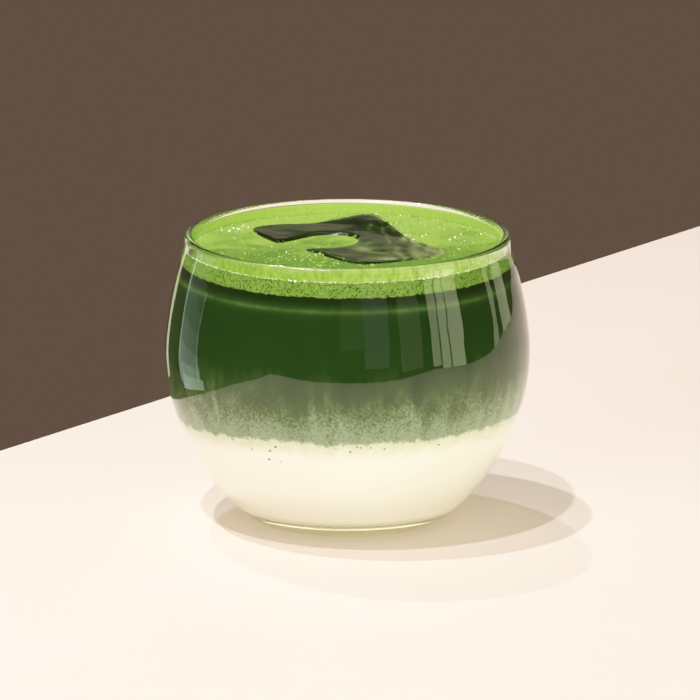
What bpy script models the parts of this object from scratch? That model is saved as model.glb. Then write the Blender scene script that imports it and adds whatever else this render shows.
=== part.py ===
"""An iced matcha latte in its round glass tumbler.

Five pieces, each a closed solid in metres with +Z up and the origin under the middle of the
base: the tumbler, the milk at the bottom, the matcha above it, the foam on top and one block
of ice that stands in the matcha and breaks through the foam.
"""

import math

import bmesh
import bpy
import numpy as np
from mathutils import Vector

MM = 0.001

# Tumbler: heights above the table and outer radii, from the heel to just under the rim.
OUTLINE = (
    (1.1 * MM, 25.0 * MM),
    (5.7 * MM, 30.2 * MM),
    (12.8 * MM, 35.8 * MM),
    (21.4 * MM, 40.3 * MM),
    (31.4 * MM, 43.8 * MM),
    (41.3 * MM, 45.0 * MM),
    (51.3 * MM, 44.1 * MM),
    (61.3 * MM, 42.0 * MM),
    (67.7 * MM, 40.15 * MM),
)
WALL = 2.2 * MM
WALL_AT_HEEL = 2.9 * MM
RIM_RADIUS = 38.8 * MM
RIM_BEAD = 1.2 * MM
RIM_HEIGHT = 71.2 * MM
RIM_STEPS = 6
FLOOR = 4.0 * MM
FLOOR_RADIUS = 19.0 * MM
COVE_RADIUS = 25.0 * MM
COVE_HEIGHT = 5.0 * MM
BEARING_RING = (19.6 * MM, 22.4 * MM)
HEEL_RADIUS = 24.0 * MM
HEEL_HEIGHT = 0.35 * MM
KICK_UP = 0.6 * MM
TUMBLER_SEGMENTS = 64

# Drink: the levels where one layer gives way to the next, and the gap kept between solids.
GAP = 0.3 * MM
MILK_LEVEL = 28.3 * MM
FOAM_UNDERSIDE = 64.5 * MM
FOAM_LEVEL = 68.2 * MM
MENISCUS = 0.5 * MM
MENISCUS_WIDTH = 2.5 * MM
FOAM_RELIEF = 0.15 * MM
FOAM_SWELL_X = 7.0 * MM
FOAM_SWELL_Y = 5.5 * MM
MILK_RELIEF = 0.7 * MM
MILK_LOBE_X = 6.5 * MM
MILK_LOBE_Y = 9.0 * MM
MILK_LOBE_SLANT = 4.3 * MM
MILK_DROOP = 2.6 * MM
MILK_RELIEF_REACH = 9.0 * MM
ON_WALL = 0.01 * MM
DRINK_SEGMENTS = 48

# Ice: plan corners going round, its height over the foam, and the hollow that foam runs into.
ICE_CORNERS = (
    (-24.2 * MM, 18.6 * MM),
    (-10.0 * MM, 21.9 * MM),
    (1.2 * MM, 27.9 * MM),
    (6.9 * MM, 27.6 * MM),
    (15.1 * MM, 8.0 * MM),
    (25.3 * MM, -11.0 * MM),
    (15.1 * MM, -18.7 * MM),
    (3.2 * MM, -23.0 * MM),
    (-5.8 * MM, -13.0 * MM),
    (-12.6 * MM, -4.8 * MM),
    (-19.7 * MM, 4.7 * MM),
)
ICE_BOTTOM = 46.0 * MM
ICE_TAPER = 0.84
ICE_ROUNDING = 4.0 * MM
ICE_RISE = 0.6 * MM
ICE_PEAK = (6.0 * MM, 27.0 * MM)
ICE_PEAK_RISE = 1.4 * MM
ICE_PEAK_WIDTH = 15.0 * MM
ICE_RIPPLE = 0.25 * MM
ICE_RIPPLE_X = 4.0 * MM
ICE_RIPPLE_Y = 6.0 * MM
HOLLOW_HEAD = (-4.6 * MM, 3.2 * MM)
HOLLOW_MOUTH = (-17.0 * MM, -3.6 * MM)
HOLLOW_HEAD_RADIUS = 6.6 * MM
HOLLOW_MOUTH_RADIUS = 3.4 * MM
HOLLOW_DEPTH = 2.5 * MM
HOLLOW_SLOPE = 3.0 * MM
PRISM_TOP = RIM_HEIGHT + 5 * MM
RELIEF_GRID = 36
RELIEF_REACH = 30 * MM
RELIEF_DEPTH = 10 * MM


def curve_through(stations, steps, closed=False):
    """Points along a Catmull-Rom curve that passes through every station."""
    stops = [Vector(station) for station in stations]
    if closed:
        stops = [stops[-1], *stops, stops[0], stops[1]]
    else:
        stops = [2 * stops[0] - stops[1], *stops, 2 * stops[-1] - stops[-2]]
    points = []
    for before, start, end, after in zip(stops, stops[1:], stops[2:], stops[3:]):
        for step in range(steps):
            t = step / steps
            points.append(
                0.5
                * (
                    2 * start
                    + (end - before) * t
                    + (2 * before - 5 * start + 4 * end - after) * t**2
                    + (3 * start - before - 3 * end + after) * t**3
                )
            )
    return points if closed else [*points, stops[-2]]


def outer_wall():
    """(radius, height) points up the outside, from the heel to under the rim."""
    return [(p.y, p.x) for p in curve_through(OUTLINE, 2)]


def inner_wall():
    """(radius, height) points up the inside, from the middle of the floor to under the rim."""
    offset = []
    for below, (z, r), above in zip(OUTLINE, OUTLINE[1:], OUTLINE[2:] + OUTLINE[-1:]):
        along = (Vector(above) - Vector(below)).normalized()
        share = min(1.0, (z - OUTLINE[1][0]) / (OUTLINE[3][0] - OUTLINE[1][0]))
        thick = WALL_AT_HEEL + (WALL - WALL_AT_HEEL) * share
        offset.append((z + along.y * thick, r - along.x * thick))
    cove = [(FLOOR, FLOOR_RADIUS), (COVE_HEIGHT, COVE_RADIUS)]
    return [(0.0, FLOOR)] + [(p.y, p.x) for p in curve_through(cove + offset, 2)]


def wall_radius(height):
    """Inside radius of the tumbler at a height, less the gap."""
    bead_side = (RIM_RADIUS - RIM_BEAD, RIM_HEIGHT - RIM_BEAD)
    radii, heights = zip(*inner_wall()[1:], bead_side)
    return float(np.interp(height, heights, radii)) - GAP


def arc(centre, radius, first_degrees, last_degrees, steps):
    """(radius, height) points round part of a circle."""
    angles = [
        math.radians(first_degrees + (last_degrees - first_degrees) * step / steps)
        for step in range(steps + 1)
    ]
    return [
        (centre[0] + radius * math.cos(angle), centre[1] + radius * math.sin(angle))
        for angle in angles
    ]


def spun(profile, segments):
    """A closed turned shape, from (radius, height) points that start and end on the axis."""
    bm = bmesh.new()
    verts = [bm.verts.new((r, 0, z)) for r, z in profile]
    edges = [bm.edges.new(pair) for pair in zip(verts, verts[1:])]
    bmesh.ops.spin(
        bm,
        geom=verts + edges,
        cent=(0, 0, 0),
        axis=(0, 0, 1),
        angle=math.tau,
        steps=segments,
        use_merge=True,
    )
    bmesh.ops.remove_doubles(bm, verts=bm.verts, dist=0.001 * MM)
    bmesh.ops.recalc_face_normals(bm, faces=bm.faces)
    return bm


def linear(channel):
    """An sRGB channel of 0 to 255 as the linear value that a shader takes."""
    value = channel / 255
    return value / 12.92 if value <= 0.04045 else ((value + 0.055) / 1.055) ** 2.4


def finish(name, colour, roughness, transmission=0.0, ior=1.33):
    material = bpy.data.materials.new(name)
    material.use_nodes = True
    shader = material.node_tree.nodes["Principled BSDF"]
    shader.inputs["Base Color"].default_value = (*map(linear, colour), 1.0)
    shader.inputs["Metallic"].default_value = 0.0
    shader.inputs["Roughness"].default_value = roughness
    shader.inputs["Transmission Weight"].default_value = transmission
    shader.inputs["IOR"].default_value = ior
    return material


def add_object(name, bm, material):
    """The bmesh as a named object, smooth apart from its real corners."""
    mesh = bpy.data.meshes.new(name)
    bm.to_mesh(mesh)
    bm.free()
    mesh.shade_smooth()
    mesh.set_sharp_from_angle(angle=math.radians(40))
    mesh.materials.append(material)
    obj = bpy.data.objects.new(name, mesh)
    bpy.context.scene.collection.objects.link(obj)
    return obj


def make_tumbler():
    """Glass with a thick floor, a bearing ring under it and a rounded bead for a rim."""
    ring_inside, ring_outside = BEARING_RING
    underside = [
        (0.0, KICK_UP),
        (ring_inside - KICK_UP, KICK_UP),
        (ring_inside, 0.0),
        (ring_outside, 0.0),
        (HEEL_RADIUS, HEEL_HEIGHT),
    ]
    bead = arc((RIM_RADIUS, RIM_HEIGHT - RIM_BEAD), RIM_BEAD, -10, 190, RIM_STEPS)
    profile = underside + outer_wall() + bead + inner_wall()[::-1]
    glass = finish("clear_glass", (240, 243, 240), 0.02, transmission=1.0, ior=1.5)
    return add_object("tumbler", spun(profile, TUMBLER_SEGMENTS), glass)


def milk_surface(x, y):
    """How far the top of the milk stands over its level, with low lobes and a droop at the left."""
    wide = math.sin(x / MILK_LOBE_X + 0.9) * math.cos(y / MILK_LOBE_Y - 0.5)
    fine = math.sin((x + y) / MILK_LOBE_SLANT + 2.0)
    left = max(0.0, -x / wall_radius(MILK_LEVEL))
    return MILK_RELIEF * (0.6 * wide + 0.4 * fine) - MILK_DROOP * left**4


def foam_surface(x, y):
    """How far the foam stands over its level, with low swells and a rise against the wall."""
    swell = math.sin(x / FOAM_SWELL_X + 1.1) * math.sin(y / FOAM_SWELL_Y + 0.3)
    inset = wall_radius(FOAM_LEVEL) - math.hypot(x, y)
    return FOAM_RELIEF * swell + MENISCUS * math.exp(-inset / (MENISCUS_WIDTH / 2))


def across(radius, height, steps):
    """(radius, height) points from the axis out to a radius, both ends included."""
    return [(radius * step / steps, height) for step in range(steps + 1)]


def up_the_wall(low, high, steps):
    """(radius, height) points up the drink's side, both ends left out."""
    heights = [low + (high - low) * step / steps for step in range(1, steps)]
    return [(wall_radius(height), height) for height in heights]


def set_level(bm, level, surface, reach):
    """Moves what is within reach of a level by a surface's height, along the wall at the side."""
    for vert in bm.verts:
        share = 1.0 - abs(vert.co.z - level) / reach
        if share <= 0.0:
            continue
        radius = math.hypot(vert.co.x, vert.co.y)
        at_wall = radius > wall_radius(vert.co.z) - ON_WALL
        vert.co.z += surface(vert.co.x, vert.co.y) * share
        if at_wall:
            vert.co.xy *= wall_radius(vert.co.z) / radius


def make_milk():
    """Fills the bottom of the tumbler, a gap clear of its floor and wall."""
    inner = inner_wall()
    bottom = [(max(0.0, r - GAP), z + GAP) for r, z in inner if z < MILK_LEVEL - 4 * MM]
    top = across(wall_radius(MILK_LEVEL), MILK_LEVEL, 7)[::-1]
    bm = spun(bottom + top, DRINK_SEGMENTS)
    set_level(bm, MILK_LEVEL, milk_surface, MILK_RELIEF_REACH)
    return add_object("milk", bm, finish("milk", (250, 240, 220), 0.4))


def make_matcha():
    """Rests on the milk's uneven top and ends flat under the foam."""
    low = MILK_LEVEL + GAP
    high = FOAM_UNDERSIDE - GAP
    bottom = across(wall_radius(low), low, 7)
    top = across(wall_radius(high), high, 4)[::-1]
    bm = spun(bottom + up_the_wall(low, high, 10) + top, DRINK_SEGMENTS)
    set_level(bm, low, milk_surface, MILK_RELIEF_REACH)
    return add_object("matcha", bm, finish("matcha", (45, 72, 28), 0.3))


def make_foam():
    """A slab of fine bubbles, drawn up a little where it meets the wall."""
    bottom = across(wall_radius(FOAM_UNDERSIDE), FOAM_UNDERSIDE, 3)
    side = up_the_wall(FOAM_UNDERSIDE, FOAM_LEVEL, 3)
    inset = wall_radius(FOAM_LEVEL) - MENISCUS_WIDTH
    edge = [(wall_radius(FOAM_LEVEL), FOAM_LEVEL), (inset + MENISCUS_WIDTH / 2, FOAM_LEVEL)]
    top = edge + across(inset, FOAM_LEVEL, 9)[::-1]
    bm = spun(bottom + side + top, DRINK_SEGMENTS)
    set_level(bm, FOAM_LEVEL, foam_surface, (FOAM_LEVEL - FOAM_UNDERSIDE) / 2)
    return add_object("foam", bm, finish("foam", (160, 194, 88), 0.6))


def hollow_share(x, y):
    """1 in the bottom of the hollow, 0 on the ice beside it."""
    head = Vector(HOLLOW_HEAD)
    along = Vector(HOLLOW_MOUTH) - head
    place = Vector((x, y)) - head
    share = min(1.0, max(0.0, place.dot(along) / along.length_squared))
    radius = HOLLOW_HEAD_RADIUS + (HOLLOW_MOUTH_RADIUS - HOLLOW_HEAD_RADIUS) * share
    inside = (radius - (place - share * along).length) / HOLLOW_SLOPE + 0.5
    inside = min(1.0, max(0.0, inside))
    return inside**2 * (3 - 2 * inside)


def ice_top(x, y):
    """Height of the ice: low ripples, a peak at the far corner and the melted hollow."""
    peak = math.hypot(x - ICE_PEAK[0], y - ICE_PEAK[1]) / ICE_PEAK_WIDTH
    over = ICE_RISE + ICE_PEAK_RISE * math.exp(-(peak**2))
    over += ICE_RIPPLE * math.sin((x + 0.5 * y) / ICE_RIPPLE_X) * math.cos(y / ICE_RIPPLE_Y)
    share = hollow_share(x, y)
    return FOAM_LEVEL + over * (1 - share) - HOLLOW_DEPTH * share


def outset(outline, grow):
    """A closed outline, listed clockwise, moved out along its normals."""
    moved = []
    for before, point, after in zip(outline[-1:] + outline, outline, outline[1:] + outline[:1]):
        along = (after - before).normalized()
        moved.append(point + grow * Vector((-along.y, along.x)))
    return moved


def ice_prism(grow):
    """The block's sides: its plan drawn down to a smaller, rounded bottom."""
    bm = bmesh.new()
    outline = curve_through(ICE_CORNERS, 3, closed=True)
    middle = sum(outline, Vector((0, 0))) / len(outline)
    corners = outset(outline, grow)
    face = bm.faces.new([bm.verts.new((*corner, PRISM_TOP)) for corner in corners])
    sides = bmesh.ops.extrude_face_region(bm, geom=[face])["geom"]
    for vert in (item for item in sides if isinstance(item, bmesh.types.BMVert)):
        place = middle + (vert.co.xy - middle) * ICE_TAPER
        vert.co = (*place, ICE_BOTTOM - grow)
    rounded = [e for e in bm.edges if all(v.co.z < ICE_BOTTOM + MM for v in e.verts)]
    bmesh.ops.bevel(
        bm,
        geom=rounded,
        offset=ICE_ROUNDING,
        segments=2,
        profile=0.5,
        affect="EDGES",
        material=-1,
    )
    bmesh.ops.recalc_face_normals(bm, faces=bm.faces)
    return bm


def ice_relief(grow):
    """A block whose top follows the ice and whose sides and bottom stand clear of it."""
    bm = bmesh.new()
    bmesh.ops.create_grid(bm, x_segments=RELIEF_GRID, y_segments=RELIEF_GRID, size=RELIEF_REACH)
    rim = [edge for edge in bm.edges if edge.is_boundary]
    skirt = bmesh.ops.extrude_edge_only(bm, edges=rim)["geom"]
    skirt_verts = [item for item in skirt if isinstance(item, bmesh.types.BMVert)]
    skirt_edges = [item for item in skirt if isinstance(item, bmesh.types.BMEdge)]
    for vert in bm.verts:
        vert.co.z = ice_top(vert.co.x, vert.co.y) + grow
    for vert in skirt_verts:
        vert.co.z = ICE_BOTTOM - RELIEF_DEPTH
    # The ice and the room cut for it bend along the same diagonals, so the gap stays even.
    bmesh.ops.triangulate(bm, faces=bm.faces, quad_method="FIXED")
    bmesh.ops.contextual_create(bm, geom=skirt_edges)
    bmesh.ops.recalc_face_normals(bm, faces=bm.faces)
    return bm


def boolean(obj, operation, other):
    modifier = obj.modifiers.new(operation.lower(), "BOOLEAN")
    modifier.operation = operation
    modifier.solver = "EXACT"
    modifier.object = other


def ice_block(name, grow, material):
    """The ice, or with a gap's growth the cutter that makes room for it."""
    block = add_object(name, ice_prism(grow), material)
    relief = add_object(name + "_relief", ice_relief(grow), material)
    as_guide(relief)
    boolean(block, "INTERSECT", relief)
    return block


def as_guide(obj):
    obj.hide_render = True
    obj.display_type = "WIRE"


def main():
    for obj in list(bpy.data.objects):
        bpy.data.objects.remove(obj, do_unlink=True)
    make_tumbler()
    make_milk()
    matcha = make_matcha()
    foam = make_foam()
    clear_ice = finish("ice", (214, 222, 206), 0.05, transmission=1.0, ior=1.31)
    ice_block("ice", 0.0, clear_ice)
    room = ice_block("room_for_ice", GAP, clear_ice)
    as_guide(room)
    boolean(matcha, "DIFFERENCE", room)
    boolean(foam, "DIFFERENCE", room)


main()
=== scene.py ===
# %% [markdown]
# An iced matcha latte in its round glass tumbler
#
# The real thing is five bodies in one another: a blown tumbler, milk that was poured first,
# green tea that was poured over it and is still sinking in, a few millimetres of fine foam,
# and one block of ice. The measured solids are loaded as a frame, and every piece below is a
# finer copy of one of them, or a small thing that the solids leave out.

import math
import random

import bmesh
import bpy
import numpy as np
from mathutils import Matrix, Vector
from mathutils.bvhtree import BVHTree


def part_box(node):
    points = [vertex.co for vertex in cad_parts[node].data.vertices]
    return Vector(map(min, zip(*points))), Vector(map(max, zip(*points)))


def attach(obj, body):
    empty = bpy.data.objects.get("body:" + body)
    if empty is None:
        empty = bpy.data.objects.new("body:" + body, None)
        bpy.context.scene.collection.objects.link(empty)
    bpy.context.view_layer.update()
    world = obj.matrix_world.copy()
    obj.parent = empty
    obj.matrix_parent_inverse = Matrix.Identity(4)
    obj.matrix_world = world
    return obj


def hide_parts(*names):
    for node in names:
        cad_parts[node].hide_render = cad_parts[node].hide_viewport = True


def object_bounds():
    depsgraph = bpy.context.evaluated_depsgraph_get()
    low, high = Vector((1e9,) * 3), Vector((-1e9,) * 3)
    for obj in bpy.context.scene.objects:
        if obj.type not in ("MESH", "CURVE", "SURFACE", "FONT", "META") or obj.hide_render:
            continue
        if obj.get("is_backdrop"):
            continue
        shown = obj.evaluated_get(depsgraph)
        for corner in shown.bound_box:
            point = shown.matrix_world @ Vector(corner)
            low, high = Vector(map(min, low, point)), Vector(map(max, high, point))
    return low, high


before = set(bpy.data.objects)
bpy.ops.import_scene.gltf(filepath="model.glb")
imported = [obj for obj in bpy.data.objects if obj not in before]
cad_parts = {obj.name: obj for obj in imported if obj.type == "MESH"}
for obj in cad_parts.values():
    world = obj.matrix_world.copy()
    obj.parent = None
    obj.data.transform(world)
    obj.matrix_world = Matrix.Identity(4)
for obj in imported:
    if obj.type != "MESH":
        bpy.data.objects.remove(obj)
CAD_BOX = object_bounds()
MM = 0.001
BODY = "root"
print("nodes:", ", ".join(sorted(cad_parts)))

# %% [markdown]
# Curves and turned shapes
#
# Nearly everything here is round, so nearly everything is a half outline, spun about the
# upright axis. An outline is a few measured stations with a smooth curve through them: the
# same stations as the solids have, with more steps between them.

# %% A smooth curve through a few stations
def curve_through(stations, steps, closed=False):
    """Points along a Catmull-Rom curve that passes through every station."""
    stops = [Vector(station) for station in stations]
    if closed:
        stops = [stops[-1], *stops, stops[0], stops[1]]
    else:
        stops = [2 * stops[0] - stops[1], *stops, 2 * stops[-1] - stops[-2]]
    points = []
    for before, start, end, after in zip(stops, stops[1:], stops[2:], stops[3:]):
        for step in range(steps):
            t = step / steps
            points.append(
                0.5
                * (
                    2 * start
                    + (end - before) * t
                    + (2 * before - 5 * start + 4 * end - after) * t**2
                    + (3 * start - before - 3 * end + after) * t**3
                )
            )
    return points if closed else [*points, stops[-2]]


def arc(centre, radius, first_degrees, last_degrees, steps):
    """(radius, height) points round part of a circle."""
    turn = (last_degrees - first_degrees) / steps
    angles = [math.radians(first_degrees + turn * step) for step in range(steps + 1)]
    return [
        (centre[0] + radius * math.cos(angle), centre[1] + radius * math.sin(angle))
        for angle in angles
    ]


# %% A spun bmesh, with its seam and its poles closed
SAME_PLACE = 0.001 * MM


def spun(profile, segments, ring=False):
    """A closed turned shape from (radius, height) points; a ring's outline meets itself."""
    bm = bmesh.new()
    verts = [bm.verts.new((r, 0, z)) for r, z in profile]
    pairs = list(zip(verts, verts[1:] + verts[:1])) if ring else list(zip(verts, verts[1:]))
    edges = [bm.edges.new(pair) for pair in pairs]
    bmesh.ops.spin(
        bm,
        geom=verts + edges,
        cent=(0, 0, 0),
        axis=(0, 0, 1),
        angle=math.tau,
        steps=segments,
        use_merge=True,
    )
    bmesh.ops.remove_doubles(bm, verts=bm.verts, dist=SAME_PLACE)
    bmesh.ops.recalc_face_normals(bm, faces=bm.faces)
    return bm


def of_kind(geom, kind):
    """Only the vertices, or only the edges, of what an operator gives back."""
    return [item for item in geom if isinstance(item, kind)]


# %% A finished piece: named, smooth, riding on the frame
SHARP_CORNER = math.radians(50)


def in_scene(name, mesh, *finishes):
    """A mesh as an object of the scene, with its finishes in its slots."""
    for finish in finishes:
        mesh.materials.append(finish)
    obj = bpy.data.objects.new(name, mesh)
    bpy.context.scene.collection.objects.link(obj)
    return obj


def smooth_out(mesh):
    """Smooth shading, but for corners that turn sharply."""
    mesh.shade_smooth()
    mesh.set_sharp_from_angle(angle=SHARP_CORNER)


def add_object(name, bm, *finishes):
    """A finished bmesh as an object of the scene."""
    mesh = bpy.data.meshes.new(name)
    bm.to_mesh(mesh)
    bm.free()
    smooth_out(mesh)
    return in_scene(name, mesh, *finishes)


def settle(obj):
    """Keeps what the modifiers make as the object's own mesh."""
    graph = bpy.context.evaluated_depsgraph_get()
    mesh = bpy.data.meshes.new_from_object(obj.evaluated_get(graph))
    obj.modifiers.clear()
    smooth_out(mesh)
    obj.data = mesh


def hand_over(obj, slot, *nodes):
    """Makes the piece part of the object, in place of the solids it stands for."""
    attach(obj, BODY)
    if nodes:
        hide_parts(*nodes)
    print(f"{obj.name}: {len(obj.data.polygons)} faces")


# %% [markdown]
# Shader maths as Python
#
# A pattern is a sum of simple fields: a height, a noise, a distance. Wiring those by hand
# takes dozens of Math nodes, so a small class stands for one socket and lets Python's own
# operators add the nodes. Everything else comes from one method, `add`.

# %% One socket that can be added, scaled and divided
class Wire:
    def __init__(self, recipe, socket):
        self.recipe = recipe
        self.socket = socket

    def maths(self, operation, *operands):
        settings = {"operation": operation}
        return self.recipe.add("ShaderNodeMath", settings, dict(enumerate(operands)))

    def __add__(self, other):
        return self.maths("ADD", self, other)

    def __radd__(self, other):
        return self.maths("ADD", other, self)

    def __sub__(self, other):
        return self.maths("SUBTRACT", self, other)

    def __rsub__(self, other):
        return self.maths("SUBTRACT", other, self)

    def __mul__(self, other):
        return self.maths("MULTIPLY", self, other)

    def __rmul__(self, other):
        return self.maths("MULTIPLY", other, self)

    def __truediv__(self, other):
        return self.maths("DIVIDE", self, other)

    def __rtruediv__(self, other):
        return self.maths("DIVIDE", other, self)

    def sine(self):
        return self.maths("SINE", self)

    def cosine(self):
        return self.maths("COSINE", self)

    def at_least(self, low):
        return self.maths("MAXIMUM", self, low)


# %% A recipe: one material and its nodes
class Recipe:
    def __init__(self, name):
        self.material = bpy.data.materials.new(name)
        self.material.use_nodes = True
        self.nodes = self.material.node_tree.nodes
        self.links = self.material.node_tree.links
        self.shader = self.nodes["Principled BSDF"]
        self.output = self.nodes["Material Output"]

    def feed(self, socket, value):
        if isinstance(value, Wire):
            self.links.new(value.socket, socket)
        else:
            socket.default_value = value

    def add(self, kind, settings=None, sockets=None, output=0):
        """Any node: its type, its settings first, then the values or wires of its sockets."""
        node = self.nodes.new(kind)
        for name, value in (settings or {}).items():
            if name == "stops":
                fill_ramp(node.color_ramp, value)
            else:
                setattr(node, name, value)
        for name, value in (sockets or {}).items():
            self.feed(node.inputs[name], value)
        return Wire(self, node.outputs[output])

    def coat(self, sockets):
        """The Principled shader's own sockets."""
        for name, value in sockets.items():
            self.feed(self.shader.inputs[name], value)
        return self.material

    def see_through(self, cover):
        """Lets the light through where the cover is 0."""
        clear = self.add("ShaderNodeBsdfTransparent")
        sockets = {0: cover, 1: clear, 2: Wire(self, self.shader.outputs[0])}
        mixed = self.add("ShaderNodeMixShader", sockets=sockets)
        self.links.new(mixed.socket, self.output.inputs["Surface"])
        return self.material


def fill_ramp(ramp, stops):
    """Sets a ramp's stops from (position, colour) pairs."""
    while len(ramp.elements) > 1:
        ramp.elements.remove(ramp.elements[-1])
    ramp.elements[0].position, ramp.elements[0].color = stops[0]
    for position, colour in stops[1:]:
        ramp.elements.new(position).color = colour


# %% Fields that the recipes share
def paint(red, green, blue):
    """A colour as a picture shows it, 0 to 255, as the linear one that a shader takes."""
    shares = [channel / 255 for channel in (red, green, blue)]
    lin = [s / 12.92 if s <= 0.04045 else ((s + 0.055) / 1.055) ** 2.4 for s in shares]
    return (*lin, 1.0)


def place(recipe, scale=(1, 1, 1), turn=(0, 0, 0)):
    """Object coordinates in millimetres, stretched or turned for a pattern."""
    where = recipe.add("ShaderNodeTexCoord", output="Object")
    sockets = {"Vector": where, "Scale": [s / MM for s in scale], "Rotation": turn}
    return recipe.add("ShaderNodeMapping", {"vector_type": "POINT"}, sockets)


def coordinates(recipe):
    """x, y and z in millimetres as three wires."""
    node = recipe.add("ShaderNodeSeparateXYZ", sockets={0: place(recipe)}).socket.node
    return [Wire(recipe, output) for output in node.outputs]


def cloud(recipe, where, scale, detail=3.0, roughness=0.55, swirl=0.0):
    """Noise about 0, roughly from -1 to 1; scale is in features per millimetre."""
    sockets = {"Vector": where, "Scale": scale, "Detail": detail, "Roughness": roughness}
    sockets["Distortion"] = swirl
    return recipe.add("ShaderNodeTexNoise", sockets=sockets) * 2.0 - 1.0


def cells(recipe, where, scale, feature="F1", output="Distance"):
    """Voronoi cells, as bubbles pack."""
    sockets = {"Vector": where, "Scale": scale}
    return recipe.add("ShaderNodeTexVoronoi", {"feature": feature}, sockets, output)


def rise(recipe, value, low, high):
    """0 below low, 1 above high, smooth between."""
    sockets = {"Value": value, "From Min": low, "From Max": high}
    return recipe.add("ShaderNodeMapRange", {"interpolation_type": "SMOOTHSTEP"}, sockets)


def blend(recipe, factor, first, second):
    """Two colours mixed."""
    sockets = {0: factor, 6: first, 7: second}
    return recipe.add("ShaderNodeMix", {"data_type": "RGBA"}, sockets, 2)


def blend_values(recipe, factor, first, second):
    """Two numbers mixed."""
    return recipe.add("ShaderNodeMix", sockets={0: factor, 2: first, 3: second})


def ramp(recipe, value, stops):
    return recipe.add("ShaderNodeValToRGB", {"stops": stops}, {0: value}, "Color")


def bump(recipe, height, distance, strength=1.0):
    sockets = {"Height": height, "Distance": distance, "Strength": strength}
    return recipe.add("ShaderNodeBump", sockets=sockets)


# %% [markdown]
# The tumbler
#
# Blown glass, about two millimetres thick, round as an apple and open at the top, with a
# thick floor and a fire-polished bead for a rim. One closed outline, spun, gives the wall its
# true inside and outside, which is what bends the light. A wall made by Solidify would lose
# the thick floor. The stations are those of the solid; the height is read from it, and the
# belly is printed.

# %% The tumbler's stations, in millimetres
OUTLINE = (
    (1.1, 25.0),
    (5.7, 30.2),
    (12.8, 35.8),
    (21.4, 40.3),
    (31.4, 43.8),
    (41.3, 45.0),
    (51.3, 44.1),
    (61.3, 42.0),
    (67.7, 40.15),
)
WALL = 2.2
WALL_AT_HEEL = 2.9
RIM_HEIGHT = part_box("tumbler")[1].z / MM
RIM_RADIUS = 38.8
RIM_BEAD = 1.2
BEAD_CENTRE = (RIM_RADIUS, RIM_HEIGHT - RIM_BEAD)
BEAD_SWEEP = (-5, 180)
BEAD_STEPS = 16
FLOOR = 4.0
COVE = ((4.0, 19.0), (5.0, 25.0))
UNDERSIDE = ((0.0, 0.6), (19.0, 0.6), (19.6, 0.0), (22.4, 0.0), (24.0, 0.35))
STEPS = 8
GLASS_SEGMENTS = 192


def inner_stations():
    """(height, radius) up the inside, a wall's thickness in from the outside."""
    moved = []
    for below, (z, r), above in zip(OUTLINE, OUTLINE[1:], OUTLINE[2:] + OUTLINE[-1:]):
        along = (Vector(above) - Vector(below)).normalized()
        share = min(1.0, (z - OUTLINE[1][0]) / (OUTLINE[3][0] - OUTLINE[1][0]))
        thick = WALL_AT_HEEL + (WALL - WALL_AT_HEEL) * share
        moved.append((z + along.y * thick, r - along.x * thick))
    return moved


OUTER_WALL = [(p.y, p.x) for p in curve_through(OUTLINE, STEPS)]
INNER_WALL = [(p.y, p.x) for p in curve_through(COVE + tuple(inner_stations()), STEPS)]
INNER_WALL.append((RIM_RADIUS - RIM_BEAD, RIM_HEIGHT - RIM_BEAD))
print("belly", round(2 * max(OUTER_WALL)[0], 2), "mm, rim at", round(RIM_HEIGHT, 2), "mm")


# %% How wide the inside is at a height
def wall_radius(height):
    """Inside radius in millimetres at a height in millimetres."""
    for (r0, z0), (r1, z1) in zip(INNER_WALL, INNER_WALL[1:]):
        if z0 <= height <= z1:
            return r0 + (r1 - r0) * (height - z0) / (z1 - z0)
    return INNER_WALL[-1][0]


# %% Clear glass, a little uneven as blown glass is, with a softer shine on the bead
GLASS_IOR = 1.5
GLASS_RELIEF = 0.06 * MM
BEAD_FOOT = (RIM_HEIGHT - 1.3, RIM_HEIGHT - 0.9)
BEAD_ROUGHNESS = 0.12


def glass_finish():
    recipe = Recipe("clear_glass")
    height = coordinates(recipe)[2]
    drawn = cloud(recipe, place(recipe, scale=(1, 1, 0.12)), 0.16, detail=2.0)
    broad = cloud(recipe, place(recipe), 0.05, detail=1.0)
    uneven = drawn * 0.6 + broad
    return recipe.coat(
        {
            "Base Color": paint(252, 254, 246),
            "Roughness": rise(recipe, height, *BEAD_FOOT) * BEAD_ROUGHNESS,
            "IOR": GLASS_IOR,
            "Transmission Weight": 1.0,
            "Normal": bump(recipe, uneven, GLASS_RELIEF),
        }
    )


# %% Spin the outline
def in_metres(profile):
    return [(r * MM, z * MM) for r, z in profile]


def make_tumbler():
    bead = arc(BEAD_CENTRE, RIM_BEAD, *BEAD_SWEEP, BEAD_STEPS)
    profile = [*UNDERSIDE, *OUTER_WALL, *bead, *INNER_WALL[-2::-1], (0.0, FLOOR)]
    glass = add_object("clear_tumbler", spun(in_metres(profile), GLASS_SEGMENTS), glass_finish())
    # Light from the lamps goes straight to the drink: the glass throws no shadow of its own.
    glass.visible_shadow = False
    hand_over(glass, "clear_glass", "tumbler")


make_tumbler()
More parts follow.
